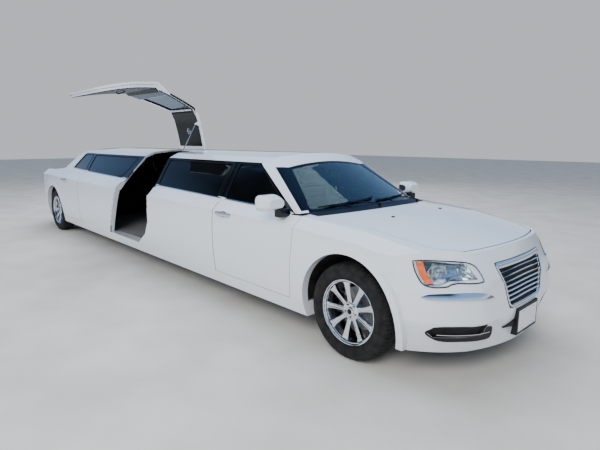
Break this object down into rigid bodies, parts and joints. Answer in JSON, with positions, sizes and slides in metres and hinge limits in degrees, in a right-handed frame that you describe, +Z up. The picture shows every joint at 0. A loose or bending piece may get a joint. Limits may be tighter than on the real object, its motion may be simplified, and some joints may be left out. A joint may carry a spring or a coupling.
{
  "type": "stretch limousine",
  "caption": "Stretch limousine on a lengthened saloon body, with side doors, an open gull-wing passenger door, bonnet, boot lid, steering and turning wheels.",
  "frame": {"origin": "on the ground, on the centre line, midway between the bumpers' ends", "axes": "+X to the front of the car, +Y to its left, +Z up"},
  "size_m": [8.8826, 2.4215, 2.2625],
  "materials": {
    "body_side_right": "white gloss paint",
    "body_side_left": "white gloss paint",
    "roof": "white gloss paint",
    "windscreen": "green tinted laminated glass",
    "fixed_glass": "dark tinted glass",
    "front_fenders": "white gloss paint",
    "cowl": "black grained plastic",
    "front_bumper": "white gloss paint on a moulded cover",
    "headlamps": "clear lens over bright bowls",
    "grille": "bright chrome plate",
    "grille_backing": "black grained plastic",
    "rear_body": "white gloss paint",
    "tail_lamps": "red lens",
    "rear_bumper": "white gloss paint on a moulded cover",
    "sills": "white gloss paint",
    "floor_pan": "black underbody coating",
    "front_structure": "black underbody coating",
    "powertrain": "cast and machined metal, dusty",
    "suspension": "black painted castings",
    "exhaust_and_tank": "dull steel",
    "dashboard": "dark grey grained plastic",
    "seats": "black leather",
    "cabin_furniture": "dark lacquered wood",
    "number_plates": "blank white plate on a black bracket",
    "strut_tube": "black painted tube",
    "front_door_right": "white gloss paint",
    "front_door_right_glass": "dark tinted glass",
    "front_door_left": "white gloss paint",
    "front_door_left_glass": "dark tinted glass",
    "rear_door_right": "white gloss paint",
    "rear_door_right_glass": "dark tinted glass",
    "rear_door_left": "white gloss paint",
    "rear_door_left_glass": "dark tinted glass",
    "gull_door": "white gloss paint",
    "gull_door_glass": "dark tinted glass",
    "gull_door_lining": "black gloss door lining",
    "strut_rod": "polished rod",
    "bonnet": "white gloss paint",
    "boot_lid": "white gloss paint",
    "knuckle_left": "cast iron",
    "knuckle_right": "cast iron",
    "tie_rods": "dull steel",
    "steering_wheel": "black leather",
    "rim_front_right": "chrome plated rim",
    "tyre_front_right": "black rubber",
    "rim_front_left": "chrome plated rim",
    "tyre_front_left": "black rubber",
    "rim_rear_right": "chrome plated rim",
    "tyre_rear_right": "black rubber",
    "rim_rear_left": "chrome plated rim",
    "tyre_rear_left": "black rubber"
  },
  "bodies": {
    "body": {"body_side_right": "body_side_right", "body_side_left": "body_side_left", "roof": "roof", "windscreen": "windscreen", "fixed_glass": "fixed_glass", "front_fenders": "front_fenders", "cowl": "cowl", "front_bumper": "front_bumper", "headlamps": "headlamps", "grille": "grille", "grille_backing": "grille_backing", "rear_body": "rear_body", "tail_lamps": "tail_lamps", "rear_bumper": "rear_bumper", "sills": "sills", "floor_pan": "floor_pan", "front_structure": "front_structure", "powertrain": "powertrain", "suspension": "suspension", "exhaust_and_tank": "exhaust_and_tank", "dashboard": "dashboard", "seats": "seats", "cabin_furniture": "cabin_furniture", "number_plates": "number_plates", "strut_tube": "strut_tube"},
    "front_door_right": {"front_door_right": "front_door_right", "front_door_right_glass": "front_door_right_glass"},
    "front_door_left": {"front_door_left": "front_door_left", "front_door_left_glass": "front_door_left_glass"},
    "rear_door_right": {"rear_door_right": "rear_door_right", "rear_door_right_glass": "rear_door_right_glass"},
    "rear_door_left": {"rear_door_left": "rear_door_left", "rear_door_left_glass": "rear_door_left_glass"},
    "gull_wing_door": {"gull_door": "gull_door", "gull_door_glass": "gull_door_glass", "gull_door_lining": "gull_door_lining"},
    "strut_rod": {"strut_rod": "strut_rod"},
    "bonnet": {"bonnet": "bonnet"},
    "boot_lid": {"boot_lid": "boot_lid"},
    "steering_left": {"knuckle_left": "knuckle_left"},
    "steering_right": {"knuckle_right": "knuckle_right"},
    "tie_rods": {"tie_rods": "tie_rods"},
    "steering_wheel": {"steering_wheel": "steering_wheel"},
    "wheel_front_right": {"rim_front_right": "rim_front_right", "tyre_front_right": "tyre_front_right"},
    "wheel_front_left": {"rim_front_left": "rim_front_left", "tyre_front_left": "tyre_front_left"},
    "wheel_rear_right": {"rim_rear_right": "rim_rear_right", "tyre_rear_right": "tyre_rear_right"},
    "wheel_rear_left": {"rim_rear_left": "rim_rear_left", "tyre_rear_left": "tyre_rear_left"}
  },
  "joints": [
    {"name": "front_door_right_hinge", "type": "hinge", "parent": "body", "child": "front_door_right", "pos_m": [2.984, -0.953, 0.7], "axis": [0, 0, 1], "range_deg": [0, 65]},
    {"name": "front_door_left_hinge", "type": "hinge", "parent": "body", "child": "front_door_left", "pos_m": [2.984, 0.953, 0.7], "axis": [0, 0, -1], "range_deg": [0, 65]},
    {"name": "rear_door_right_hinge", "type": "hinge", "parent": "body", "child": "rear_door_right", "pos_m": [-2.042, -0.953, 0.7], "axis": [0, 0, 1], "range_deg": [0, 65]},
    {"name": "rear_door_left_hinge", "type": "hinge", "parent": "body", "child": "rear_door_left", "pos_m": [-2.042, 0.953, 0.7], "axis": [0, 0, -1], "range_deg": [0, 65]},
    {"name": "gull_wing_hinge", "type": "hinge", "parent": "body", "child": "gull_wing_door", "pos_m": [0.07, -0.1, 1.482], "axis": [-1, 0, 0], "range_deg": [-84, 0]},
    {"name": "strut_slide", "type": "slide", "parent": "body", "child": "strut_rod", "axis": [0, 0.4897, 0.8719], "range_m": [-0.461, 0.001]},
    {"name": "bonnet_hinge", "type": "hinge", "parent": "body", "child": "bonnet", "pos_m": [3.05, 0, 1.045], "axis": [0, -1, 0], "range_deg": [0, 55]},
    {"name": "boot_lid_hinge", "type": "hinge", "parent": "body", "child": "boot_lid", "pos_m": [-3.48, 0, 1.125], "axis": [0, 1, 0], "range_deg": [0, 75]},
    {"name": "steering_left", "type": "hinge", "parent": "body", "child": "steering_left", "pos_m": [3.522, 0.722, 0.3635], "axis": [0, 0, 1], "range_deg": [-33, 33]},
    {"name": "steering_right", "type": "hinge", "parent": "body", "child": "steering_right", "pos_m": [3.522, -0.722, 0.3635], "axis": [0, 0, 1], "range_deg": [-33, 33]},
    {"name": "tie_rod_slide", "type": "slide", "parent": "body", "child": "tie_rods", "axis": [0, 1, 0], "range_m": [-0.08, 0.08]},
    {"name": "steering_wheel_turn", "type": "hinge", "parent": "body", "child": "steering_wheel", "pos_m": [2.33, 0.37, 0.85], "axis": [-0.9063, 0, 0.4226], "range_deg": [-496, 496]},
    {"name": "wheel_front_right_spin", "type": "hinge", "parent": "steering_right", "child": "wheel_front_right", "pos_m": [3.522, -0.805, 0.3635], "axis": [0, 1, 0], "continuous": true},
    {"name": "wheel_front_left_spin", "type": "hinge", "parent": "steering_left", "child": "wheel_front_left", "pos_m": [3.522, 0.805, 0.3635], "axis": [0, 1, 0], "continuous": true},
    {"name": "wheel_rear_right_spin", "type": "hinge", "parent": "body", "child": "wheel_rear_right", "pos_m": [-3.34, -0.805, 0.3635], "axis": [0, 1, 0], "continuous": true},
    {"name": "wheel_rear_left_spin", "type": "hinge", "parent": "body", "child": "wheel_rear_left", "pos_m": [-3.34, 0.805, 0.3635], "axis": [0, 1, 0], "continuous": true}
  ],
  "couplings": [
    {"joint": "steering_right", "follows": "steering_left", "ratio": 1},
    {"joint": "steering_wheel_turn", "follows": "steering_left", "ratio": 15},
    {"joint": "tie_rod_slide", "follows": "steering_left", "m_per_rad": -0.1235},
    {"joint": "strut_slide", "follows": "gull_wing_hinge", "m_per_rad": 0.3135}
  ]
}
